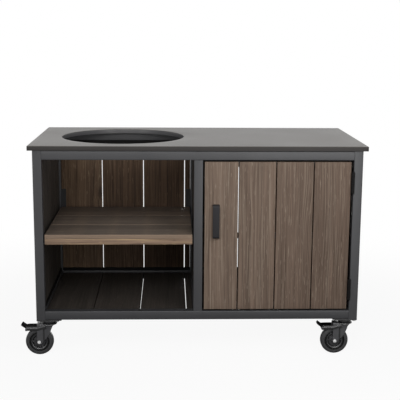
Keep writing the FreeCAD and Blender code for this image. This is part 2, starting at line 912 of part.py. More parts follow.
def make_fork(corner, x, y, turn):
    """A pressed fork: a round crown on the kingpin, and two legs swept to the axle."""
    play = size("running_play")
    body = new_body(f"{corner}_fork")
    side = outline(body, "XZ_Plane", [fork_side()], f"{corner}_fork_side")
    pad(body, side, 2 * FORK_FACE, middle=True, name=f"{corner}_fork_block")
    space = [
        (-HALF_FORK, 0),
        (HALF_FORK, 0),
        (HALF_FORK, CROWN_BOTTOM),
        (-HALF_FORK, CROWN_BOTTOM),
    ]
    gap = outline(body, "YZ_Plane", [space], f"{corner}_wheel_space")
    pocket(body, gap, f"{corner}_wheel_gap")
    disc = [
        (0, CROWN_BOTTOM),
        (size("crown_radius"), CROWN_BOTTOM),
        (size("crown_radius"), CROWN_TOP),
        (0, CROWN_TOP),
    ]
    crown = outline(body, "XZ_Plane", [disc], f"{corner}_crown_profile")
    revolve(body, crown, f"{corner}_crown")
    holes = (
        ("axle", "XZ_Plane", -size("caster_trail"), size("wheel_radius"),
         size("axle_radius")),
        ("pedal", "XZ_Plane", -size("pedal_pivot_back"), size("pedal_pivot_height"),
         size("pedal_pin_radius")),
        ("kingpin", "XY_Plane", MIDDLE, MIDDLE, size("kingpin_radius")),
    )
    for name, plane, across, up, radius in holes:
        ring = circle(body, plane, across, up, radius + play, f"{corner}_{name}_circle")
        pocket(body, ring, f"{corner}_{name}_hole")
    place(body, x, y, 0, turn)
    finish(body, f"{corner}_fork")


def wheel_centre(x, y, turn):
    """Where the axle stands, on the trailing side of the swivel axis."""
    trail = size("caster_trail")
    behind = x + trail if turn is HALF_TURN else x - trail
    return behind, y, size("wheel_radius")


def rim_polygon():
    """The rim's outside: flats all round, which key the tyre that is moulded over them."""
    count = int(DRIVING_SIZES["rim_flats"])
    turns = [2 * math.pi * step / count for step in range(count)]
    return [(size("rim_radius") * math.cos(turn), size("rim_radius") * math.sin(turn))
            for turn in turns]


def make_wheel(corner, x, y, turn):
    """A moulded rim with a sunk web and a hub as wide as the fork, in a rubber tyre."""
    centre = wheel_centre(x, y, turn)
    rim = new_body(f"{corner}_rim")
    web = outline(rim, "XY_Plane", [rim_polygon()], f"{corner}_web_outline")
    pad(rim, web, size("web_thickness"), middle=True, name=f"{corner}_web")
    ring = circle(rim, "XY_Plane", MIDDLE, MIDDLE, size("hub_radius"), f"{corner}_hub_circle")
    pad(rim, ring, size("hub_length"), middle=True, name=f"{corner}_hub")
    bore = circle(rim, "XY_Plane", MIDDLE, MIDDLE, size("axle_radius") + size("running_play"),
                  f"{corner}_bore_circle")
    pocket(rim, bore, f"{corner}_bore")
    place(rim, *centre, ALONG_Y)
    finish(rim, f"{corner}_rim")

    tyre = new_body(f"{corner}_tyre")
    tread = circle(tyre, "XY_Plane", MIDDLE, MIDDLE, size("wheel_radius"),
                   f"{corner}_tread_circle")
    pad(tyre, tread, size("wheel_width"), middle=True, name=f"{corner}_tread")
    seat = outline(tyre, "XY_Plane", [rim_polygon()], f"{corner}_seat_outline")
    pocket(tyre, seat, f"{corner}_seat")
    place(tyre, *centre, ALONG_Y)
    finish(tyre, f"{corner}_tyre")


def make_axle(corner, x, y, turn):
    """A bolt through the fork legs, with its head on the outer leg and a nut on the inner."""
    behind, middle, height = wheel_centre(x, y, turn)
    head = size("axle_head_height")
    nut = size("axle_nut_height")
    front = middle - FORK_FACE
    back = middle + FORK_FACE
    outer, inner = (nut, head) if turn is HALF_TURN else (head, nut)
    shank = doc.addObject("Part::Cylinder", f"{corner}_axle_shank")
    bind(shank, Radius=size("axle_radius"), Height=2 * FORK_FACE)
    place(shank, behind, front, height, ALONG_Y)
    pieces = [
        shank,
        hexagon(f"{corner}_axle_front", behind, front - outer, height,
                size("axle_head_radius"), outer, ALONG_Y),
        hexagon(f"{corner}_axle_back", behind, back, height,
                size("axle_head_radius"), inner, ALONG_Y),
    ]
    finish(fuse(f"{corner}_axle", pieces), f"{corner}_axle")


def make_pedal(corner, x, y, turn):
    """A brake pedal: a loop of strip round the fork, a shoe over the tyre and a foot pad."""
    pivot = -size("pedal_pivot_back")
    height = size("pedal_pivot_height")
    eye = size("pedal_eye")
    window = pivot - size("pedal_window")
    tread_edge = window - 2 * eye
    tip = pivot - size("pedal_reach")
    tip_top = height + size("pedal_tip_rise")
    shoe = height - size("shoe_depth")
    inside = FORK_FACE + size("pedal_side_gap")
    outside = inside + size("pedal_strip")
    body = new_body(f"{corner}_brake_pedal")
    loop = [
        (pivot + eye, height - eye),
        (pivot + eye, height + eye),
        (pivot - eye, height + eye),
        (window, height - eye / 2),
        (tip + size("pedal_tip_lean"), tip_top),
        (tip, tip_top - 2 * eye),
        (tread_edge, height - 2 * eye),
        (tread_edge, shoe),
        (window, shoe),
        (window + eye, height - 2 * eye),
        (pivot - eye, height - eye),
    ]
    side = outline(body, "XZ_Plane", [loop], f"{corner}_pedal_side")
    pad(body, side, 2 * outside, middle=True, name=f"{corner}_pedal_blank")
    space = [
        (window, -inside),
        (outside, -inside),
        (outside, inside),
        (window, inside),
    ]
    pocket(body, outline(body, "XY_Plane", [space], f"{corner}_pedal_space"),
           f"{corner}_pedal_opening")
    narrow = size("pedal_tip_half_width")
    corners = []
    for facing in (-1, 1):
        corners.append([
            (tip - eye, facing * outside * 2),
            (window - eye, facing * outside * 2),
            (window - eye, facing * outside),
            (window - 4 * eye, facing * narrow),
            (tip - eye, facing * narrow),
        ])
    pocket(body, outline(body, "XY_Plane", corners, f"{corner}_pad_taper"),
           f"{corner}_pad_sides")
    ring = circle(body, "XZ_Plane", pivot, height, size("pedal_pin_radius"),
                  f"{corner}_pedal_pin_circle")
    pad(body, ring, 2 * outside, middle=True, name=f"{corner}_pedal_pin")
    place(body, x, y, 0, turn)
    finish(body, f"{corner}_brake_pedal")


make_worktop()
make_worktop_pads()
make_frame()
make_back_and_floor_boards()
make_side_boards()
make_board_strips()
make_floor_ledges()
make_shelf()
make_door()
make_handle()
make_catch()
make_hinge("lower_hinge", DOOR_BOTTOM + size("hinge_end_distance"))
make_hinge("upper_hinge", DOOR_TOP - size("hinge_end_distance") - size("hinge_length"))
make_corner_plates()
make_caster_plates()
make_caster_bolts()
for corner_name, spot_and_turn in CORNERS.items():
    make_fork(corner_name, *spot_and_turn)
    make_wheel(corner_name, *spot_and_turn)
    make_axle(corner_name, *spot_and_turn)
    make_pedal(corner_name, *spot_and_turn)

doc.recompute()
failed = [item.Label for item in doc.Objects
          if "Invalid" in item.State or "Error" in item.State]
for node, item in parts.items():
    if item.Shape.isNull() or not item.Shape.isValid() or item.Shape.Volume <= 0:
        failed.append(node)
if failed:
    raise RuntimeError("These pieces did not build: " + ", ".join(failed))

os.makedirs("parts", exist_ok=True)
for node, item in parts.items():
    item.Shape.exportStep(f"parts/{node}.step")
print(len(parts), "sub-parts written")
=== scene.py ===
"""A kamado grill table: honed stone and stained boards on a coated frame with casters."""

import json
import math

import bmesh
import bpy
import numpy as np
from mathutils import Matrix, Vector


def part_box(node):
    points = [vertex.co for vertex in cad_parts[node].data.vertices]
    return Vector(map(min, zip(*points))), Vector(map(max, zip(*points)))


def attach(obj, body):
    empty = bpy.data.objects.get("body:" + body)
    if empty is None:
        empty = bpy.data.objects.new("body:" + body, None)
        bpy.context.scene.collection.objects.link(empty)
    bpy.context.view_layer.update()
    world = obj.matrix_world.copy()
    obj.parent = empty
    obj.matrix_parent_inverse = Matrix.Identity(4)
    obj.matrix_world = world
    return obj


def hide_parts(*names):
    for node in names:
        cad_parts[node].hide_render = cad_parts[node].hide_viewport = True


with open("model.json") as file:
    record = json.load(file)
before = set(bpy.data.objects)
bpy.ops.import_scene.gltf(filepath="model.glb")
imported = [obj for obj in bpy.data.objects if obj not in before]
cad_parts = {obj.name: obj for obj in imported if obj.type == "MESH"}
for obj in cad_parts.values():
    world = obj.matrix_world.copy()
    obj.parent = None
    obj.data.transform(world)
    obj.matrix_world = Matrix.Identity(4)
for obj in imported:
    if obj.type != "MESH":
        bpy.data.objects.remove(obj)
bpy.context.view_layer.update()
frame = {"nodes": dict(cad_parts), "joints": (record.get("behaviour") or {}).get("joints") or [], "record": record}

MM = 0.001
X, Y, Z = range(3)
QUARTER = math.pi / 2
SIXTH = math.pi / 3
MERGE_DISTANCE = 0.001 * MM
CREASE_ANGLE = math.radians(38)
chance = np.random.default_rng(4)

# Whether a grid's rows close, and whether its columns do
ROUND = (False, True)
OPEN = (False, False)
LOOP = (True, True)


# Surfaces

class Surface:
    """Grids of points that together make one piece.

    Each point carries what its finish reads: grain, its place in the wood; tone, how far it
    takes the second shade, which is painted shade on some boards and painted light on the
    cut-out's wall; and cut, how far it lies on a cut edge, in a crease or in a recess,
    where most finishes paint shade and the shelf wood a highlight.
    """

    def __init__(self):
        self.points = []
        self.faces = []
        self.grain = []
        self.tone = []
        self.cut = []
        self.count = 0

    def add(self, grid, wrap=ROUND, cut=0.0, grain=None, tone=0.5):
        """Add a grid of rows by columns by three; wrap says which of its two ways closes."""
        rows, columns = grid.shape[:2]
        row, column = np.meshgrid(
            np.arange(rows - 1 + wrap[0]), np.arange(columns - 1 + wrap[1]), indexing="ij")
        after = (row + 1) % rows
        beside = (column + 1) % columns
        corners = np.stack([
            row * columns + column,
            after * columns + column,
            after * columns + beside,
            row * columns + beside,
        ], axis=-1)
        self.faces.append(corners.reshape(-1, 4) + self.count)
        self.points.append(grid.reshape(-1, 3))
        self.grain.append((grid if grain is None else grain).reshape(-1, 3))
        self.tone.append(np.broadcast_to(tone, (rows, columns)).ravel())
        self.cut.append(np.broadcast_to(cut, (rows, columns)).ravel())
        self.count += rows * columns

    def mesh(self, name, material):
        """The grids as one mesh, not yet merged."""
        mesh = bpy.data.meshes.new(name)
        mesh.from_pydata(
            np.concatenate(self.points).tolist(), [], np.concatenate(self.faces).tolist())
        mesh.materials.append(material)
        return mesh

    def piece(self, name, material, body, slot, stands_for=(), modifiers=()):
        """Merge the seams, turn the faces outwards, and let the piece ride on its body."""
        mesh = self.mesh(name, material)
        grain = mesh.attributes.new("grain", "FLOAT_VECTOR", "POINT")
        grain.data.foreach_set("vector", np.concatenate(self.grain).ravel())
        for attribute, shares in (("tone", self.tone), ("cut", self.cut)):
            share = mesh.attributes.new(attribute, "FLOAT", "POINT")
            share.data.foreach_set("value", np.concatenate(shares))
        work = bmesh.new()
        work.from_mesh(mesh)
        bmesh.ops.remove_doubles(work, verts=work.verts, dist=MERGE_DISTANCE)
        bmesh.ops.recalc_face_normals(work, faces=work.faces)
        work.to_mesh(mesh)
        work.free()
        mesh.shade_smooth()
        mesh.set_sharp_from_angle(angle=CREASE_ANGLE)
        piece = in_scene(name, mesh)
        for kind, settings in modifiers:
            modifier = piece.modifiers.new(kind.title(), kind)
            for setting, value in settings.items():
                setattr(modifier, setting, value)
        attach(piece, body)
        if stands_for:
            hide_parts(*stands_for)


def in_scene(name, data):
    """A new object in the scene for a mesh, a lamp or a camera."""
    thing = bpy.data.objects.new(name, data)
    bpy.context.scene.collection.objects.link(thing)
    return thing


def box_of(node):
    """Low and high corners of a CAD node, in metres."""
    low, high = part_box(node)
    return np.array(low), np.array(high)


def joint_place(name):
    """Where a joint stands, in metres."""
    return next(joint["pos_m"] for joint in frame["joints"] if joint["name"] == name)


def solids(node):
    """Low and high corners of each separate solid of a CAD node, in metres.

    Points that share a triangle take the lowest of their numbers, over and over, until
    every solid has one number for all its points. Points are the same to the micrometre,
    so solids that touch in a corner of both come out as one.
    """
    mesh = frame["nodes"][node].data
    points = np.empty(len(mesh.vertices) * 3, np.float32)
    mesh.vertices.foreach_get("co", points)
    points = np.round(points.reshape(-1, 3).astype(float), decimals=6)
    points, place = np.unique(points, axis=0, return_inverse=True)
    corners = np.empty(len(mesh.loops), np.int32)
    mesh.loops.foreach_get("vertex_index", corners)
    triangles = place.ravel()[corners].reshape(-1, 3)
    number = np.arange(len(points))
    while True:
        lowest = number[triangles].min(axis=1)
        spread = number.copy()
        for corner in range(3):
            np.minimum.at(spread, triangles[:, corner], lowest)
        if (spread == number).all():
            break
        number = spread
    return [(points[number == one].min(axis=0), points[number == one].max(axis=0))
            for one in np.unique(number)]


def smooth_step(share):
    """0 below 0 and 1 above 1, and between them 3 times the square less twice the cube."""
    share = np.clip(share, 0, 1)
    return share ** 2 * (3 - 2 * share)


def bar(low, high, along, radius, end_radius, steps=3, spacing=None, wear=0.0):
    """A bar's skin: its round-cornered section carried along one axis.

    A section's corner is a quarter circle about a point one radius in from both sides. At
    the ends the section is drawn in along a quarter circle of end_radius, and a point in
    its middle closes it. Sections stand about one spacing apart. Their radius is multiplied
    by 1 plus wear times a long wave times a short wave along the bar.
    """
    long_wave, short_wave, shift_per_metre = 45 * MM, 17 * MM, 90
    across, beyond = (along + 1) % 3, (along + 2) % 3
    middle = (low + high) / 2
    half = (high - low) / 2
    turn = np.linspace(0, QUARTER, steps + 1)
    around = np.concatenate([turn + quarter * QUARTER for quarter in range(4)])
    side_a = np.repeat([1, -1, -1, 1], steps + 1)
    side_b = np.repeat([1, 1, -1, -1], steps + 1)

    length = 2 * half[along]
    depth = np.unique(end_radius * (1 - np.cos(turn)))
    inset = end_radius - np.sqrt(np.maximum(end_radius ** 2 - (end_radius - depth) ** 2, 0))
    count = 1 if spacing is None else max(1, round(length / spacing))
    between = np.linspace(end_radius, length - end_radius, count + 1)[1:-1]
    run = np.concatenate([[0], depth, between, (length - depth)[::-1], [length]])
    inset = np.concatenate([[0], inset, np.zeros(len(between)), inset[::-1], [0]])
    opened = np.ones(len(run))
    opened[[0, -1]] = 0
    shift = middle.sum() * shift_per_metre
    waver = 1 + wear * np.sin(run / long_wave + shift) * np.sin(run / short_wave)
    round_off = np.maximum(radius * waver, end_radius)[:, None]

    grid = np.empty((len(run), len(around), 3))
    grid[..., along] = (middle - half)[along] + run[:, None]
    reach = round_off - inset[:, None]
    for axis, side, wave in (
            (across, side_a, np.cos(around)), (beyond, side_b, np.sin(around))):
        offset = side * (half[axis] - round_off) + reach * wave
        grid[..., axis] = middle[axis] + opened[:, None] * offset
    return grid


def eased(corners, setback, steps=4):
    """A line of points whose inner corners are rounded.

    Corner P becomes a curve from A to B, one setback before and after it, by the sum
    (1 - t)(1 - t) A + 2 t (1 - t) P + t t B. Beside a short stretch the setback is cut to a
    little under half of it.
    """
    under_half = 0.49
    corners = np.asarray(corners, float)
    here = corners[1:-1]
    back = corners[:-2] - here
    ahead = corners[2:] - here
    back_length = np.linalg.norm(back, axis=1, keepdims=True)
    ahead_length = np.linalg.norm(ahead, axis=1, keepdims=True)
    reach = np.minimum(setback, under_half * np.minimum(back_length, ahead_length))
    start = (here + back / back_length * reach)[:, None]
    end = (here + ahead / ahead_length * reach)[:, None]
    t = np.linspace(0, 1, steps + 1)[None, :, None]
    curve = (1 - t) ** 2 * start + 2 * t * (1 - t) * here[:, None] + t ** 2 * end
    return np.concatenate([corners[:1], curve.reshape(-1, corners.shape[1]), corners[-1:]])


def turned(profile, centre, axis, columns, flat_distance=None):
    """A profile of radius and height turned once round an axis.

    flat_distance is how far six flats stand from the axis: the radius at an angle is then
    at most flat_distance over the cosine of the angle from the nearest flat's middle.
    """
    turn = np.arange(columns) * 2 * math.pi / columns
    radius, height = np.asarray(profile, float).T[:, :, None]
    radius = radius + 0 * turn
    if flat_distance:
        radius = np.minimum(radius, flat_distance / np.cos(turn % SIXTH - SIXTH / 2))
    grid = np.empty(radius.shape + (3,))
    grid[..., (axis + 1) % 3] = radius * np.cos(turn)
    grid[..., (axis + 2) % 3] = radius * np.sin(turn)
    grid[..., axis] = height
    return grid + np.asarray(centre)


def hexagon(profile, radius, centre, axis):
    """A bolt head or a nut: a turned profile of that radius, cut to six flats."""
    flat_distance = radius * math.cos(math.pi / 6)
    return turned(profile, centre, axis, columns=48, flat_distance=flat_distance)


def carried(section, path, sideways):
    """A flat section carried along a path that stays square to the sideways axis.

    A section point is sideways times its first number plus the path's normal, the tangent
    crossed with sideways, times its second. A point in the middle closes each end.
    """
    tangent = np.gradient(path, axis=0)
    tangent /= np.linalg.norm(tangent, axis=1, keepdims=True)
    normal = np.cross(tangent, sideways)
    first, second = section.T[:, None, :, None]
    grid = path[:, None] + first * np.asarray(sideways, float) + second * normal[:, None]
    caps = np.repeat(path[[0, -1]][:, None], len(section), axis=1)
    return np.concatenate([caps[:1], grid, caps[1:]])


def round_section(width, thickness, radius):
    """The outline of a flat bar's end with round corners: a bar's first full section."""
    half = np.array([width / 2, thickness / 2])
    return bar(np.array([-1, *-half]), np.array([1, *half]), X, radius, 0.0)[1][:, 1:]


# Shader arithmetic

class Value:
    """A number that varies over a surface; arithmetic on it adds Math nodes."""

    def __init__(self, finish, socket):
        self.finish = finish
        self.socket = socket

    def math(self, operation, *terms):
        numbered = dict(enumerate(terms))
        return self.finish.node("ShaderNodeMath", {"operation": operation}, numbered)

    def __add__(self, other):
        return self.math("ADD", self, other)

    def __sub__(self, other):
        return self.math("SUBTRACT", self, other)

    def __rsub__(self, other):
        return self.math("SUBTRACT", other, self)

    def __mul__(self, other):
        return self.math("MULTIPLY", self, other)

    __radd__ = __add__
    __rmul__ = __mul__

    def sine(self):
        return self.math("SINE", self)

    def over(self, low, high):
        """0 below low and 1 above high, with a smooth rise between."""
        settings = {"interpolation_type": "SMOOTHSTEP"}
        return self.finish.node("ShaderNodeMapRange", settings, {0: self, 1: low, 2: high})


def paint(red, green, blue):
    """A colour as a paint chart gives it, 0 to 255, made linear for the shader."""
    chart = np.array([red, green, blue]) / 255
    linear = np.where(chart <= 0.04045, chart / 12.92, ((chart + 0.055) / 1.055) ** 2.4)
    return (*linear.tolist(), 1.0)


class Finish:
    """The nodes of a material or of the world, in the making."""

    def __init__(self, owner):
        self.owner = owner
        owner.use_nodes = True
        self.tree = owner.node_tree
        self.tree.nodes.clear()

    def node(self, kind, settings=None, sockets=None, output=0):
        """Add a node: its settings first, then the values or links of its sockets."""
        made = self.tree.nodes.new(kind)
        for name, value in (settings or {}).items():
            setattr(made, name, value)
        for name, value in (sockets or {}).items():
            if isinstance(value, Value):
                self.tree.links.new(value.socket, made.inputs[name])
            else:
                made.inputs[name].default_value = value
        return Value(self, made.outputs[output] if made.outputs else None)

    def share(self, name):
        """A share from 0 to 1 that the piece's points carry."""
        return self.node("ShaderNodeAttribute", {"attribute_name": name}, output="Fac")

    def place(self):
        return self.node("ShaderNodeTexCoord", output="Object")

    def ray(self, kind):
        return self.node("ShaderNodeLightPath", output=kind)

    def vector(self, operation, first, second):
        return self.node("ShaderNodeVectorMath", {"operation": operation},
                         {0: first, 1: second})

    def noise(self, where, scale, detail=2.0, roughness=0.5):
        """Noise with scale bumps to a metre: one number, or one for each axis."""
        scale = scale if isinstance(scale, tuple) else (scale, scale, scale)
        stretched = self.vector("MULTIPLY", where, scale)
        return self.node("ShaderNodeTexNoise", None, {
            "Vector": stretched, "Scale": 1.0, "Detail": detail, "Roughness": roughness})

    def mix(self, share, first, second, blend="MIX"):
        """The first colour where share is 0, and the second where it is 1."""
        return self.node("ShaderNodeMix", {"data_type": "RGBA", "blend_type": blend},
                         {0: share, 6: first, 7: second}, output=2)

    def bump(self, height, depth, strength):
        return self.node("ShaderNodeBump", None,
                         {"Height": height, "Distance": depth, "Strength": strength})

    def shader(self, **sockets):
        """A Principled shader that has these sockets."""
        named = {name.replace("_", " "): value for name, value in sockets.items()}
        return self.node("ShaderNodeBsdfPrincipled", None, named)

    def done(self, shader):
        """Close the material with its shader."""
        self.node("ShaderNodeOutputMaterial", None, {"Surface": shader})
        return self.owner


def new_material(name):
    return Finish(bpy.data.materials.new(name))


# Finishes

def honed_stone():
    """Dark basalt, honed: fine light and dark crystals, faint clouds, a satin face.

    The saw-cut outer edge is rougher and painted darker as shade, and the wall of the
    cut-out is painted paler as light.
    """
    finish = new_material("honed_stone")
    place = finish.place()
    cloud = finish.noise(place, 4, 3.0)
    crystal = finish.noise(place, 420)
    fleck = finish.noise(place, 950, 1.0).over(0.62, 0.72)
    painted_light_wall = finish.share("tone")
    sawn_and_shaded = finish.share("cut")
    body = finish.mix(cloud.over(0.3, 0.7), paint(60, 53, 44), paint(66, 59, 50))
    body = finish.mix(crystal.over(0.35, 0.7) * 0.5, body, paint(34, 32, 30))
    body = finish.mix(fleck * 0.3, body, paint(104, 98, 92))
    # painted light: the wall of the cut-out is painted paler
    body = finish.mix(painted_light_wall, body, paint(86, 86, 88))
    # painted shade: the outer edge is painted nearly black
    body = finish.mix(sawn_and_shaded, body, paint(17, 15, 15))
    return finish.done(finish.shader(
        Base_Color=body,
        Roughness=0.3 + cloud * 0.1 - fleck * 0.08 + sawn_and_shaded * 0.2,
        Normal=finish.bump(crystal, 0.05 * MM, 0.5),
        Specular_IOR_Level=0.4,
        Specular_Tint=(1.0, 0.955, 0.915, 1.0)))


def powder_coat(name, colour, deep, roughness, shine=0.35):
    """Baked powder: a fine orange-peel skin, a shade deeper in soft patches; painted shade in creases."""
    finish = new_material(name)
    place = finish.place()
    peel = finish.noise(place, 900)
    patch = finish.noise(place, (6, 6, 3))
    crease = finish.share("cut")
    body = finish.mix(patch.over(0.35, 0.7), colour, deep)
    return finish.done(finish.shader(
        # painted shade: where the cut share is high, in the fork's creases and on the pedal strip
        Base_Color=finish.mix(crease, body, paint(16, 16, 16)),
        Roughness=roughness + peel * 0.12,
        Normal=finish.bump(peel, 0.06 * MM, 0.6),
        Specular_IOR_Level=shine))


def stained_wood(name, pale, deep, wash, wash_share, painted_edge_highlight=None):
    """Brushed softwood under a thin stain.

    The grain attribute runs across, through and along each board. A slow waver bends it,
    and it swings out round knots, which stand where cells of noise have their middles.
    Contour lines of stretched noise are the year rings; finer and finer stretched noise
    gives the streaks, the brushed fibres, and short pale and dark flecks. Only wood that
    is given an edge highlight colour takes it on its cut edges, as a painted highlight.
    """
    knots_per_metre = (4.2, 4.2, 1.3)
    waver_reach, knot_reach = 22 * MM, 20 * MM
    finish = new_material(name)
    grain = finish.node("ShaderNodeAttribute", {"attribute_name": "grain"}, output="Vector")
    tone = finish.share("tone")
    cell = finish.node(
        "ShaderNodeTexVoronoi", None,
        {"Vector": finish.vector("MULTIPLY", grain, knots_per_metre), "Scale": 1.0},
        output="Distance")
    round_knot = 1 - cell.over(0.0, 0.34)
    core = 1 - cell.over(0.035, 0.075)
    waver = finish.noise(grain, (5, 5, 1.6), 1.0) * waver_reach + round_knot * knot_reach
    shift = finish.node("ShaderNodeCombineXYZ", None, {"X": waver})
    grain = finish.vector("ADD", grain, shift)
    figure = finish.noise(grain, (16, 16, 0.7), 1.0)
    rings = (figure * 70 + round_knot * 9).sine() * 0.5 + 0.5
    band = finish.noise(grain, (20, 20, 0.5), 1.0).over(0.35, 0.65)
    streak = finish.noise(grain, (100, 100, 1.5), 3.0, 0.6).over(0.32, 0.68)
    thread = finish.noise(grain, (300, 300, 4.5), 2.0, 0.6).over(0.3, 0.7)
    fibre = finish.noise(grain, (900, 900, 15), 1.0, 0.6)
    bleach = finish.noise(grain, (210, 210, 2.6), 2.0, 0.6).over(0.55, 0.66)
    fleck = finish.noise(grain, (340, 340, 21), 1.0)

    depth = band * 0.2 + streak * 0.35 + thread * 0.35 + rings * 0.1
    colour = finish.mix(depth, pale, deep)
    colour = finish.mix(bleach * wash_share, colour, wash)
    colour = finish.mix(fleck.over(0.66, 0.74) * 0.7, colour, wash)
    colour = finish.mix((1 - fleck.over(0.22, 0.31)) * 0.6, colour, deep)
    colour = finish.mix(core * 0.75, colour, paint(46, 34, 27))
    # painted highlight: the edges are painted paler
    if painted_edge_highlight:
        colour = finish.mix(finish.share("cut") * (0.95 - depth * 0.5), colour, painted_edge_highlight)
    # darkening by tone: each door board's own tone, painted shade on back boards and shelf planks
    colour = finish.mix(tone, colour, paint(206, 200, 198), "MULTIPLY")
    height = fibre * 0.5 + rings * 0.15 + thread * 0.45
    return finish.done(finish.shader(
        Base_Color=colour,
        Roughness=0.6 + fibre * 0.16,
        Normal=finish.bump(height, 0.35 * MM, 0.7),
        Specular_IOR_Level=0.3))


def rubber(name, colour, roughness, shine=0.35):
    """Moulded rubber or plastic: slightly clouded, a soft grain, painted shade in its recesses."""
    finish = new_material(name)
    place = finish.place()
    cloud = finish.noise(place, 60, 3.0)
    skin = finish.noise(place, 1500, 1.0)
    recess = finish.share("cut")
    body = finish.mix(cloud.over(0.3, 0.75) * 0.4, colour, paint(24, 24, 25))
    return finish.done(finish.shader(
        # painted shade: where the cut share is high the colour goes near black
        Base_Color=finish.mix(recess, body, paint(9, 9, 9)),
        Roughness=roughness + cloud * 0.1,
        Normal=finish.bump(skin, 0.05 * MM, 0.5),
        Specular_IOR_Level=shine))


def zinc():
    """Bright zinc plate: pale and a little metallic, with a faint bloom."""
    finish = new_material("bright_zinc")
    bloom = finish.noise(finish.place(), 160)
    return finish.done(finish.shader(
        Base_Color=finish.mix(bloom, paint(226, 227, 229), paint(246, 245, 242)),
        Metallic=0.1,
        Roughness=0.3 + bloom * 0.14,
        Normal=finish.bump(bloom, 0.02 * MM, 0.4)))


STONE = honed_stone()
FRAME_COAT = powder_coat("frame_coat", paint(56, 56, 58), paint(51, 51, 53), 0.36, 0.5)
PLATE_COAT = powder_coat("plate_coat", paint(46, 46, 47), paint(38, 38, 39), 0.5)
CASTER_COAT = powder_coat("caster_coat", paint(58, 58, 59), paint(50, 50, 51), 0.2, 0.9)
FORK_COAT = powder_coat("fork_coat", paint(76, 76, 78), paint(66, 66, 68), 0.26, 0.6)
# black: the foot pad's own colour, and painted shade on the web between the pedal's arms
PEDAL_PAD_AND_SHADE = powder_coat("pedal_pad", paint(20, 20, 20), paint(14, 14, 14), 0.8, 0.05)
HANDLE_COAT = powder_coat("handle_coat", paint(42, 41, 43), paint(36, 35, 37), 0.46, 0.2)
HINGE_COAT = powder_coat("hinge_coat", paint(22, 21, 21), paint(16, 15, 15), 0.5, 0.08)
SCREW_COAT = powder_coat("screw_coat", paint(58, 56, 54), paint(44, 43, 42), 0.36, 0.5)
DOOR_WOOD = stained_wood(
    "door_wood", paint(138, 119, 104), paint(84, 69, 58), paint(162, 148, 132), 0.45)
# the shelf wood's last colour is its painted highlight on the plank edges
SHELF_WOOD = stained_wood(
    "shelf_wood", paint(120, 108, 97), paint(70, 61, 53), paint(150, 136, 116), 0.4,
    paint(158, 136, 116))
SHELF_EDGE_WOOD = stained_wood(
    "shelf_edge_wood", paint(168, 141, 118), paint(94, 77, 65), paint(208, 178, 136), 0.6)
CLADDING_WOOD = stained_wood(
    "cladding_wood", paint(132, 107, 84), paint(58, 43, 32), paint(158, 134, 108), 0.4)
# a darker, greyer copy of the cladding wood: painted shade on the side walls, partition and floor
SHADED_CLADDING_WOOD = stained_wood(
    "shade_wood", paint(72, 66, 61), paint(44, 40, 36), paint(90, 84, 76), 0.3)
TYRE_RUBBER = rubber("tyre_rubber", paint(62, 62, 63), 0.5)
PAD_RUBBER = rubber("pad_rubber", paint(26, 26, 27), 0.6)
RIM_PLASTIC = rubber("rim_plastic", paint(60, 60, 62), 0.2, 0.6)
ZINC = zinc()


# Stone worktop

def make_worktop():
    """The slab's section carried once round the cut-out.

    Each column of the grid belongs to one point of the outer edge and to the point of the
    cut-out that is in line with it. Rows go up the cut-out's wall, over its eased edge,
    across the top, over the outer eased edge, down, and back below.
    """
    ease = 1.5 * MM
    corner_radius = 4 * MM
    column_step = 10 * MM
    low, high = box_of("worktop")
    top, bottom = high[Z], low[Z]
    middle = (low + high)[:2] / 2
    half = (high - low)[:2] / 2
    mount = next(
        mount for mount in frame["record"]["mounts"] if mount["name"] == "kamado_cutout")
    centre = np.array(mount["pos_m"][:2])
    hole = mount["dims"]["r_mm"] * MM

    turn = np.linspace(0, QUARTER, 5)
    outline = []
    for quarter, side in enumerate(((1, 1), (-1, 1), (-1, -1), (1, -1))):
        bend = turn + quarter * QUARTER
        spot = side * (half - corner_radius)
        outline.append(spot + corner_radius * np.stack([np.cos(bend), np.sin(bend)], -1))
    outline = np.concatenate(outline + [outline[0][:1]])
    lengths = np.linalg.norm(np.diff(outline, axis=0), axis=1)
    counts = np.maximum(1, np.round(lengths / column_step)).astype(int)
    start = np.repeat(np.arange(len(counts)), counts)
    share = np.concatenate([np.arange(count) / count for count in counts])[:, None]
    outer = outline[start] * (1 - share) + outline[start + 1] * share
    outer += middle
    away = outer - centre
    away /= np.linalg.norm(away, axis=1, keepdims=True)

    bend = np.linspace(0, QUARTER, 4)
    drop = ease * (1 - np.sin(bend))
    draw = ease * (1 - np.cos(bend))
    across = np.linspace(0, 1, 9)[1:-1]
    rings = []
    for inset, height in [(0, bottom), *zip(draw, top - drop)]:
        rings.append((centre + away * (hole + inset), height))
    inner_edge = centre + away * (hole + ease)
    outer_edge = outer - ease * np.sign(outer)
    for part in across:
        rings.append((inner_edge * (1 - part) + outer_edge * part, top))
    for inset, height in [*zip(draw[::-1], (top - drop)[::-1]), (0, bottom)]:
        rings.append((middle + (outer - middle) * (1 - inset / half), height))
    for part in across[::-1]:
        rings.append(((centre + away * hole) * (1 - part) + outer * part, bottom))
    grid = np.stack([np.column_stack([ring, np.full(len(ring), height)])
                     for ring, height in rings])
    # the outer edge and underside take painted shade, the cut-out's wall painted light
    below_ease = grid[..., Z] < top - ease / 2
    painted_light_wall = np.linalg.norm(grid[..., :2] - centre, axis=-1) < hole + ease
    surface = Surface()
    surface.add(grid, LOOP, cut=below_ease & ~painted_light_wall, tone=below_ease & painted_light_wall)
    surface.piece("stone_worktop", STONE, "table", "stone_worktop", ["worktop"])


# Frame

def make_frame():
    """Square tubes with rolled corners, cut square and welded flush."""
    rolled = 3 * MM
    for node in frame["nodes"]:
        if not node.endswith(("_post", "_rail")):
            continue
        low, high = box_of(node)
        surface = Surface()
        along = int(np.argmax(high - low))
        surface.add(bar(low, high, along, radius=rolled, end_radius=0.0, steps=4))
        surface.piece(node + "_tube", FRAME_COAT, "table", "frame_powder_coat", [node])


# Boards

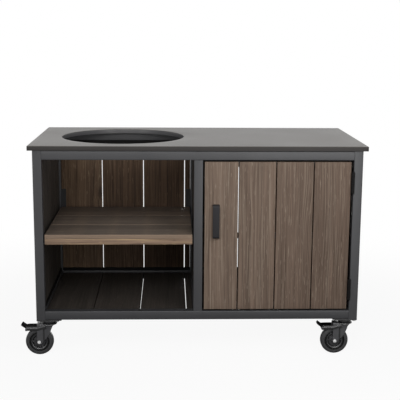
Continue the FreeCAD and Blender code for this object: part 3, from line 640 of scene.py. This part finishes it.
def make_boards(node, along, material, slot, body="table", edge=1.6 * MM, tones_and_painted_shade=None):
    """Every solid of a CAD node as a board with worn edges and a cut of wood of its own.

    The given darkness of each board, from 0 to 1, is counted from the left or the front:
    for the door boards it is their own tone, for the back and shelf boards painted shade.
    The cut share rises from 0 to 1 over one worn edge at each side of the board's width;
    the shelf's finish paints a highlight there.
    """
    forest, darkest, spacing, wear = 40, 0.7, 30 * MM, 0.35
    sides = [(along + 1) % 3, (along + 2) % 3]
    boards = sorted(solids(node), key=lambda corners: corners[0].sum())
    surface = Surface()
    for count, (low, high) in enumerate(boards):
        grid = bar(low, high, along, edge, 0.8 * edge, spacing=spacing, wear=wear)
        wide = sides[1 - np.argmin((high - low)[sides])]
        thin = sum(sides) - wide
        from_middle = grid - (low + high) / 2
        grain = from_middle[..., [wide, thin, along]] + chance.uniform(-forest, forest, 3)
        tone = tones_and_painted_shade[count] if tones_and_painted_shade else chance.uniform(0.0, darkest)
        beyond = abs(from_middle[..., wide]) - (high - low)[wide] / 2 + edge
        surface.add(grid, cut=np.clip(beyond / edge, 0, 1), grain=grain, tone=tone)
    surface.piece(node + "_planed", material, body, slot, [node])


# Door fittings

def door_bars():
    """Low and high corners of the door frame's two stiles and of its three rails."""
    width = 25 * MM
    low, high = box_of("door_frame")
    stiles = [(np.array([left, low[Y], low[Z]]), np.array([left + width, high[Y], high[Z]]))
              for left in (low[X], high[X] - width)]
    rails = [(np.array([low[X] + width, low[Y], bottom]),
              np.array([high[X] - width, high[Y], bottom + width]))
             for bottom in (low[Z], (low[Z] + high[Z] - width) / 2, high[Z] - width)]
    return stiles, rails


def make_door_frame():
    """Flat bars behind the boards: two stiles, and three rails between them."""
    edge, end_edge = 1.5 * MM, 0.3 * MM
    surface = Surface()
    for along, bars in zip((Z, X), door_bars()):
        for low, high in bars:
            surface.add(bar(low, high, along, edge, end_edge))
    surface.piece("door_bars", FRAME_COAT, "door", "frame_powder_coat", ["door_frame"])


def make_handle():
    """A flat bar carried out from the door, up and back, with a bend at each turn."""
    thick, bend, edge = 5 * MM, 9 * MM, 1.2 * MM
    low, high = box_of("door_handle")
    front = low[Y] + thick / 2
    bottom, top = low[Z] + thick / 2, high[Z] - thick / 2
    line = eased([(high[Y], bottom), (front, bottom), (front, top), (high[Y], top)],
                 setback=bend, steps=6)
    path = np.column_stack([np.full(len(line), (low[X] + high[X]) / 2), line])
    surface = Surface()
    surface.add(carried(round_section(high[X] - low[X], thick, edge), path, (1, 0, 0)))
    surface.piece("bow_handle", HANDLE_COAT, "door", "handle_metal", ["door_handle"])


def make_hinges():
    """Barrels with rounded ends, each on a lug of flat bar, and the lower ones' pins."""
    radius, pin, barrel_length, barrel_ease = 8 * MM, 4.5 * MM, 48 * MM, 1.6 * MM
    lug, lug_end, lug_edge = 3 * MM, 4 * MM, 0.8 * MM
    x, y, _ = joint_place("door_hinge")
    door_edge = box_of("door_boards")[1][X]
    for node in sorted(frame["nodes"]):
        if "hinge" not in node:
            continue
        on_post = node.endswith("post_half")
        low, high = box_of(node)
        bottom = low[Z]
        top = bottom + barrel_length if on_post else high[Z]
        barrel = [(0, bottom), (radius, bottom), (radius, top), (0, top)]
        barrel = eased(barrel, setback=barrel_ease)
        surface = Surface()
        surface.add(turned(barrel, (x, y, 0), Z, columns=40))
        if on_post:
            shank = [(0, top), (pin, top), (pin, high[Z]), (0, high[Z])]
            surface.add(turned(shank, (x, y, 0), Z, columns=32))
        left = high[X] - lug if on_post else door_edge
        lug_low = np.array([left, y, bottom + lug_end])
        lug_high = np.array([left + lug, high[Y], top - lug_end])
        surface.add(bar(lug_low, lug_high, Z, lug_edge, lug_edge))
        body = "table" if on_post else "door"
        surface.piece(node + "_turned", HINGE_COAT, body, "hinge_steel", [node])


# Screws

def add_screw(surface, spot, axis, side):
    """A low pan head with a round socket, on a face that looks to side along axis."""
    socket = [(0, 0.7), (1.5, 0.7)]
    head = [(1.7, 1.9), (3.2, 1.9), (4.6, 1.2), (4.8, 0), (0, 0)]
    profile = eased(socket + head, setback=0.4, steps=2) * (MM, side * MM)
    surface.add(turned(profile, spot, axis, columns=24))


def make_wall_screws():
    """Two screws at each end of every back, side and floor board, from outside or above."""
    from_end, from_side = 8 * MM, 30 * MM
    surface = Surface()
    for node, along, axis, side in (
            ("back_boards", Z, Y, 1), ("left_side_boards", Z, X, -1),
            ("right_side_boards", Z, X, 1), ("partition_boards", Z, X, -1),
            ("floor_boards", Y, Z, 1)):
        across = 3 - along - axis
        for low, high in solids(node):
            face = (high if side > 0 else low)[axis]
            inset = min(from_side, (high - low)[across] / 3)
            for near in (low[across] + inset, high[across] - inset):
                for end in (low[along] + from_end, high[along] - from_end):
                    spot = np.zeros(3)
                    spot[[across, along, axis]] = near, end, face
                    add_screw(surface, spot, axis, side)
    surface.piece("wall_screws", SCREW_COAT, "table", "zinc_fastener")


def make_door_screws():
    """Two screws into every door board through each rail, from behind."""
    from_middle = 38 * MM
    surface = Surface()
    _, rails = door_bars()
    for board_low, board_high in solids("door_boards"):
        middle = (board_low + board_high)[X] / 2
        for low, high in rails:
            for near in (middle - from_middle, middle + from_middle):
                add_screw(surface, np.array([near, high[Y], (low + high)[Z] / 2]), Y, 1)
    surface.piece("door_screws", SCREW_COAT, "door", "zinc_fastener")


# Casters, drawn in millimetres about the swivel axis

CORNERS = ("front_left", "front_right", "rear_left", "rear_right")
SWIVEL = (0, 0, 0)
AXLE = np.array([-44.0, 0.0, 63.5])

# A hexagon's chamfer and the round face inside it, as shares of its radius
CHAMFER = 0.93
FACE = 0.84


def corner_place(corner):
    """The swivel axis of a caster, and 1 where its wheel trails to the left, else -1."""
    x, y, _ = joint_place(corner + "_swivel")
    return x, y, math.copysign(1, x - joint_place(corner + "_roll")[X])


def at_corner(corner, grid):
    """Points drawn in a caster's own frame, in millimetres, put in their place."""
    x, y, way = corner_place(corner)
    return grid * np.array([way, way, 1]) * MM + np.array([x, y, 0])


def caster_piece(corner, name, grids, material, body, slot, nodes, modifiers=()):
    """A piece of one caster; each grid comes with its wrap and may come with its cut."""
    surface = Surface()
    for grid, *wrap_and_cut in grids:
        surface.add(at_corner(corner, grid), *wrap_and_cut)
    surface.piece(f"{corner}_{name}", material, body, slot, nodes, modifiers)


def make_caster_heads():
    """Top plates with stepped, rolled-over races, and the domed head of each kingpin."""
    top, under = 171.0, 168.0
    plate = bar(np.array([-51, -42.5, under]), np.array([51, 42.5, top]), Z, radius=6,
                end_radius=0.6, steps=4)
    race = eased([(0, under), (33, under), (33, 161), (29, 153), (24, 152), (0, 152)],
                 setback=2.5)
    kingpin = eased([(0, 153), (6, 153), (6, 145.5), (10, 145.5), (8, 142), (0, 141.5)],
                    setback=1)
    race = turned(race, SWIVEL, Z, columns=64)
    kingpin = turned(kingpin, SWIVEL, Z, columns=32)
    surface = Surface()
    for corner in CORNERS:
        for grid in (plate, race, kingpin):
            surface.add(at_corner(corner, grid))
    surface.piece("caster_heads", CASTER_COAT, "table", "caster_steel", ["caster_plates"])


def make_caster_bolts():
    """Hexagon heads with turned-off corners."""
    radius, corner_height, face_height = 7.5 * MM, 1.2 * MM, 0.4 * MM
    surface = Surface()
    for low, high in solids("caster_bolts"):
        x, y = (low + high)[:2] / 2
        profile = [
            (0, high[Z]), (radius, high[Z]), (radius, low[Z] + corner_height),
            (CHAMFER * radius, low[Z] + face_height), (FACE * radius, low[Z]), (0, low[Z])]
        surface.add(hexagon(profile, radius, (x, y, 0), Z))
    surface.piece("bolt_heads", ZINC, "table", "zinc_fastener", ["caster_bolts"])


def fork_sheet():
    """The fork's pressed sheet: a line up one leg, over the crown and down the other,
    times a width from its back edge to its front edge.

    The back edge is upright. The front edge leans and bows out from the toe to the neck by
    a parabola, and flares from the neck to the crown by the square of the height. Below the
    toe both edges close on an ellipse. A smooth step sets the front part of each leg back,
    and fades out under the crown. The second array is how far a point lies in its crease,
    where the coat paints shade.
    """
    half, crown, foot, toe, neck, roll = 21.5, 148.0, 51.5, 57.5, 126.0, 5.0
    back_edge, front_edge, lean, bow, flare = -53.0, -32, 44, 24, 16
    step_edge, step_width, step_depth, fade_end, fade = -27, 5, 1.4, crown - 12, 10
    crease_middle, crease_fade, crease_full, flat = -23, 4.5, 1.3, 0.05
    leg = np.concatenate([
        foot + (toe - foot) * (1 - np.cos(np.linspace(0, QUARTER, 7))),
        np.linspace(toe, crown - roll, 26)[1:],
    ])
    bend = np.linspace(0, QUARTER, 6)[1:]
    over = np.linspace(half - roll, 0, 6)[1:]
    side = np.concatenate([np.full(len(leg), half), half - roll + roll * np.cos(bend), over])
    side = np.concatenate([-side, side[-2::-1]])
    height = np.concatenate(
        [leg, crown - roll + roll * np.sin(bend), np.full(len(over), crown)])
    height = np.concatenate([height, height[-2::-1]])

    share = np.clip((height - toe) / (neck - toe), 0, 1)
    front = front_edge + lean * share + bow * share * (1 - share)
    front += flare * np.clip((height - neck) / (crown - neck), 0, 1) ** 2
    below = (toe - np.minimum(height, toe)) / (toe - foot)
    closing = np.sqrt(np.clip(1 - below ** 2, 0, 1))
    front = AXLE[X] + (front - AXLE[X]) * closing
    back = AXLE[X] + (back_edge - AXLE[X]) * closing
    width = np.linspace(0, 1, 19)
    x = back[:, None] * (1 - width) + front[:, None] * width
    height = height[:, None] + 0 * x
    pressed = step_depth * smooth_step((x - step_edge) / step_width)
    pressed *= np.clip((fade_end - height) / fade, 0, 1)
    y = side[:, None] - np.sign(side)[:, None] * pressed
    # share of painted shade along the crease
    crease = np.clip(crease_full - abs(x - crease_middle) / crease_fade, 0, 1)
    return np.stack([x, y, height], axis=-1), crease * (pressed > flat)


def make_forks():
    """The sheet with its thickness, and the round crown with a rolled-down rim."""
    modifiers = [
        ("SOLIDIFY", {"thickness": 3 * MM, "offset": 0.0, "use_even_offset": True}),
        ("BEVEL", {"width": 0.7 * MM, "segments": 2, "limit_method": "ANGLE"}),
    ]
    crown = eased([(6.1, 149.9), (35.5, 149.9), (36.9, 146.0), (34, 146.0), (6.1, 146.4)],
                  setback=1.6)
    crown = turned(crown, SWIVEL, Z, columns=64)
    sheet, crease = fork_sheet()
    for corner in CORNERS:
        body = corner + "_swivel"
        caster_piece(corner, "pressed_fork", [(sheet, OPEN, crease)], FORK_COAT, body,
                     "caster_steel", [corner + "_fork"], modifiers)
        caster_piece(corner, "fork_crown", [(crown, LOOP)], CASTER_COAT, body,
                     "caster_steel", [])


def both_sides(profile):
    """A closed profile from its half above height 0, which starts and ends at height 0."""
    return np.concatenate([profile, (profile[::-1] * (1, -1))[1:-1]])


def round_axle(grid):
    """How far each point stands from the axle, and its angle about it."""
    x, _, z = np.moveaxis(grid - AXLE, -1, 0)
    return np.hypot(x, z), np.arctan2(z, x)


def make_wheels():
    """A tyre with a rounded tread on a rim with a lip, a sunk web with ribs, and a hub.

    The tyre is painted darker beside the rim, and the rim where it is sunk, as shade in the
    groove and the recesses. A rib rises where the cosine of the angle times the number of
    ribs is near 1.
    """
    seat_end, seat_fade = 47, 1.5
    ribs, rib_height, rib_edge, rib_slope = 6, 3.5, 0.72, 0.2
    web_start, web_slope, web_end = 14.5, 2, 31
    sunk_end, sunk_fade = 10.2, 1.6
    tyre = [(43.3, 0), (43.3, 13), (45.8, 18), (54, 18), (55.2, 16.9), (58, 16.6),
            (62, 12.6), (63.5, 7), (63.5, 0)]
    tyre = both_sides(eased(tyre, setback=1.4, steps=5))
    tyre = turned(tyre, AXLE, Y, columns=96)
    # painted shade on the tyre next to the rim
    seat = np.clip((seat_end - round_axle(tyre)[0]) / seat_fade, 0, 1)

    rim = [(5.2, 0), (5.2, 19), (14, 19), (15, 14), (17, 10.5), (26.6, 10.5), (27.4, 7),
           (30.2, 7), (32, 14.5), (36.4, 16.4), (37.8, 8.5), (42.4, 8.5), (43, 12), (43, 0)]
    rim = both_sides(eased(rim, setback=0.8))
    rim = turned(rim, AXLE, Y, columns=144)
    away, turn = round_axle(rim)
    rib = np.clip((np.cos(ribs * turn) - rib_edge) / rib_slope, 0, 1)
    on_web = np.clip((away - web_start) / web_slope, 0, 1) * (away < web_end)
    rim[..., Y] += np.sign(rim[..., Y]) * rib_height * rib * on_web
    # painted shade where the rim is sunk
    sunk = np.clip((sunk_end - abs(rim[..., Y])) / sunk_fade, 0, 1)
    for corner in CORNERS:
        body = corner + "_wheel"
        caster_piece(corner, "moulded_tyre", [(tyre, LOOP, seat)], TYRE_RUBBER, body,
                     "tyre_rubber", [corner + "_tyre"])
        caster_piece(corner, "moulded_rim", [(rim, LOOP, sunk)], RIM_PLASTIC, body,
                     "rim_plastic", [corner + "_rim"])


def make_axles():
    """A bolt with a hexagon head outside and a nut with a collar inside."""
    radius, fork_face, head_top, nut_top, shank_radius = 8.0, 23, 28, 30, 5
    collar, collar_top = 0.72 * radius, 0.68 * radius
    head = [(0, fork_face), (radius, fork_face), (radius, 26.6), (CHAMFER * radius, 27.5),
            (FACE * radius, head_top), (0, head_top)]
    nut = [(0, fork_face), (radius, fork_face), (radius, 27), (CHAMFER * radius, 28),
           (collar, 28.4), (collar_top, nut_top), (0, nut_top)]
    shank = [(0, fork_face), (shank_radius, fork_face), (shank_radius, -fork_face),
             (0, -fork_face)]
    for corner in CORNERS:
        way = corner_place(corner)[2]
        outside = -1 if corner.startswith("front") else 1
        grids = [(turned(shank, AXLE, Y, columns=32), ROUND)]
        for profile, side in ((head, outside * way), (nut, -outside * way)):
            profile = np.array(profile) * (1, side)
            grids.append((hexagon(profile, radius, AXLE, Y), ROUND))
        caster_piece(corner, "axle_bolt", grids, ZINC, corner + "_swivel",
                     "zinc_fastener", [corner + "_axle"])


def pedal_shade_web():
    """The web between the pedal's arms, black as painted shade: lengths times a loop over
    and under the sheet.

    A smooth step sinks its middle by a millimetre. The end rows lie wholly on the
    underside, which closes the ends.
    """
    back, front, half = -101.0, -60.0, 24.4
    under, thick, sunk_half, rise = 133.2, 1.6, 16, 7
    length = np.array([back, *np.linspace(back, front, 8), front])
    across = np.linspace(-half, half, 33)
    y = np.concatenate([across, across[::-1]]) + 0 * length[:, None]
    over = np.repeat([1.0, 0.0], len(across)) + 0 * y
    over[[0, -1]] = 0
    z = under + smooth_step((abs(y) - sunk_half) / rise) + thick * over
    return np.stack([length[:, None] + 0 * z, y, z], axis=-1)


def make_pedals():
    """A beaded strip bent round the fork, a black web between its arms as painted shade, a
    shoe and a foot pad.

    The strip's path runs back along one arm, round two bends and forward along the other.
    Behind the fork it dips by a smooth step, and falls a little further to its end. The
    strip's face is painted darker as shade, most in its lower half; the bead is left out
    of it, which paints a highlight along the top.
    """
    front, back, side, bend = -13.0, -104.5, 25.5, 16
    height, dip, dip_start, slope_length, dip_share = 135, 7, -23, 75, 0.4
    plan = eased([(front, -side), (back, -side), (back, side), (front, side)],
                 setback=bend, steps=10)
    plan = np.concatenate([
        np.linspace(plan[0], plan[1], 12)[:-1], plan[1:-1],
        np.linspace(plan[-2], plan[-1], 12)[1:]])
    share = np.clip((dip_start - plan[:, X]) / slope_length, 0, 1)
    path = np.column_stack([plan, height - dip * smooth_step(share / dip_share) - share])
    section = round_section(width=18, thickness=3, radius=1.4)
    strip = carried(section, path, (0, 0, 1))
    middle = np.pad(path[:, Z:], ((1, 1), (0, 0)), "edge")
    # painted shade on the strip's face, stronger on its lower half
    shade = np.where(strip[..., Z] < middle, 0.8, 0.5)
    section = round_section(width=5, thickness=5, radius=2.4)
    bead = carried(section, path + (0, 0, 2), (0, 0, 1))
    shoe = bar(np.array([-106, -27, 117.0]), np.array([-96, 27, 130.0]), Y, radius=2,
               end_radius=1.5)
    pin = eased([(0, -29), (3, -29), (5, -27.2), (5, -27), (3, -27), (3, 27), (5, 27),
                 (5, 27.2), (3, 29), (0, 29)], setback=0.5, steps=2)
    pin = turned(pin, (-18, 0, 139), Y, columns=24)
    rise = eased([(-100, 130.5), (-112, 136.5), (-123.6, 145.9)], setback=8, steps=24)
    rise = np.column_stack([rise[:, 0], np.zeros(len(rise)), rise[:, 1]])
    section = round_section(width=36, thickness=10.4, radius=2.5)
    foot = carried(section, rise, (0, 1, 0))
    loop = [(strip, ROUND, shade), (bead, ROUND), (shoe, ROUND), (pin, ROUND)]
    # the web takes the black pad finish as painted shade
    pad = [(foot, ROUND), (pedal_shade_web(), ROUND)]
    for corner in CORNERS:
        body = corner + "_brake"
        caster_piece(corner, "pedal_loop", loop, CASTER_COAT, body, "pedal_steel",
                     [corner + "_brake_pedal"])
        caster_piece(corner, "pedal_foot", pad, PEDAL_PAD_AND_SHADE, body, "pedal_steel", [])


# CAD nodes that show as they are

KEPT_NODES = {
    "worktop_pads": PAD_RUBBER,
    "board_strips": HINGE_COAT,
    "floor_ledges": FRAME_COAT,
    "shelf_bearers": PLATE_COAT,
    "corner_plates": PLATE_COAT,
    "door_catch": PAD_RUBBER,
}


def finish_kept_nodes():
    """Give each node that no piece replaces its material."""
    for node, material in KEPT_NODES.items():
        mesh = frame["nodes"][node].data
        mesh.materials.clear()
        mesh.materials.append(material)


# Studio

def make_floor():
    """A wide pale floor that keeps the table's shadow and turns plain white with distance.

    The camera sees a mix of the lit floor and of plain white, all white far from the table.
    """
    reach, near, far, white_share = 30.0, 0.9, 2.6, 0.92
    finish = new_material("pale_floor")
    place = finish.place()
    dust = finish.noise(place, 3)
    seen = finish.ray("Is Camera Ray")
    mirrored = finish.ray("Is Glossy Ray")
    pale = finish.mix(dust, paint(160, 160, 160), paint(168, 168, 168))
    lit = finish.shader(
        Base_Color=finish.mix(seen, pale, paint(250, 250, 250)),
        Roughness=0.9, Specular_IOR_Level=0.1)
    glow = finish.node("ShaderNodeEmission", None, {"Strength": 1.0})
    distance = finish.node(
        "ShaderNodeVectorMath", {"operation": "LENGTH"}, {0: place}, output="Value")
    away = distance.over(near, far)
    share = seen * (away * (1 - white_share) + white_share) + mirrored * away
    finish.done(finish.node("ShaderNodeMixShader", None, {0: share, 1: lit, 2: glow}))
    line = np.linspace(-reach, reach, 31)
    x, y = np.meshgrid(line, line)
    surface = Surface()
    surface.add(np.stack([x, y, 0 * x], axis=-1), OPEN)
    in_scene("floor", surface.mesh("floor", finish.owner))


def make_world(diffuse_light, mirror_light):
    """White where the camera looks past the table, softer as a light and in reflections."""
    world = bpy.data.worlds.new("studio")
    bpy.context.scene.world = world
    finish = Finish(world)
    seen = finish.ray("Is Camera Ray")
    direct = seen.math("MAXIMUM", seen, finish.ray("Is Transmission Ray"))
    softer = finish.ray("Is Glossy Ray") * (mirror_light - diffuse_light) + diffuse_light
    light = finish.node("ShaderNodeBackground", None, {
        "Color": (1, 1, 1, 1), "Strength": direct.math("MAXIMUM", direct, softer)})
    finish.node("ShaderNodeOutputWorld", None, {"Surface": light})


def make_lamp(name, place, target, width, power):
    """A square soft box that faces the target."""
    lamp = bpy.data.lights.new(name, "AREA")
    lamp.shape = "SQUARE"
    lamp.size = width
    lamp.energy = power
    stand = in_scene(name, lamp)
    stand.location = place
    ahead = Vector(target) - Vector(place)
    stand.rotation_euler = ahead.to_track_quat("-Z", "Y").to_euler()


def make_camera():
    """The photograph's view: a long lens, a little to the left and above, looking down."""
    lens_pixels = 910.0
    picture_pixels = 400.0
    sensor = 36.0
    yaw, pitch, roll = (math.radians(angle) for angle in (1.937, 10.875, 0.396))
    place = Vector((-0.1267, -4.3232, 1.4876))
    ahead = Vector((math.sin(yaw) * math.cos(pitch), math.cos(yaw) * math.cos(pitch),
                    -math.sin(pitch)))
    right = ahead.cross(Vector((0, 0, 1))).normalized()
    up = right.cross(ahead)
    turned_right = right * math.cos(roll) + up * math.sin(roll)
    turned_up = up * math.cos(roll) - right * math.sin(roll)
    lens = bpy.data.cameras.new("camera")
    lens.sensor_width = sensor
    lens.lens = lens_pixels * sensor / picture_pixels
    lens.clip_start = 0.1
    lens.clip_end = 100
    camera = in_scene("camera", lens)
    axes = Matrix((turned_right, turned_up, -ahead)).transposed()
    camera.matrix_world = Matrix.Translation(place) @ axes.to_4x4()
    bpy.context.scene.camera = camera


make_worktop()
make_frame()
# painted shade: the back boards of the open bay grow darker to the right
make_boards("back_boards", Z, CLADDING_WOOD, "cladding_wood", edge=1.0 * MM,
            tones_and_painted_shade=(0.1, 0.8, 1.0, 1.0, 0.7, 0.9, 0.6, 1.0))
for wall in ("left_side_boards", "right_side_boards", "partition_boards"):
    make_boards(wall, Z, SHADED_CLADDING_WOOD, "cladding_wood")
make_boards("floor_boards", Y, SHADED_CLADDING_WOOD, "cladding_wood", edge=1.0 * MM)
# painted shade: the shelf planks grow darker towards the rear
make_boards("shelf_planks", X, SHELF_WOOD, "shelf_wood", tones_and_painted_shade=(0.4, 0.5, 1.0))
make_boards("shelf_battens", X, SHELF_EDGE_WOOD, "shelf_wood")
make_boards("door_boards", Z, DOOR_WOOD, "door_wood", "door", tones_and_painted_shade=(0.1, 0.5, 0.7, 0.7))
make_wall_screws()
make_door_frame()
make_door_screws()
make_handle()
make_hinges()
make_caster_heads()
make_caster_bolts()
make_forks()
make_wheels()
make_axles()
make_pedals()
finish_kept_nodes()
make_floor()
make_world(diffuse_light=0.07, mirror_light=1.0)
make_lamp("key_box", (-0.7, -3.4, 2.3), (0, 0, 0.6), 1.2, 42)
make_lamp("side_box", (-2.6, -2.6, 1.5), (0, 0, 0.6), 1.0, 16)
make_lamp("low_box", (0.8, -2.4, 0.8), (0, 0, 0.6), 1.0, 10)
make_lamp("near_box", (0.9, -1.5, 1.7), (0.1, 0, 0.8), 0.8, 9)
make_lamp("rear_box", (0.5, 2.8, 0.45), (0, 0, 0.5), 0.9, 38)
make_camera()

bpy.context.scene.view_settings.view_transform = "Standard"
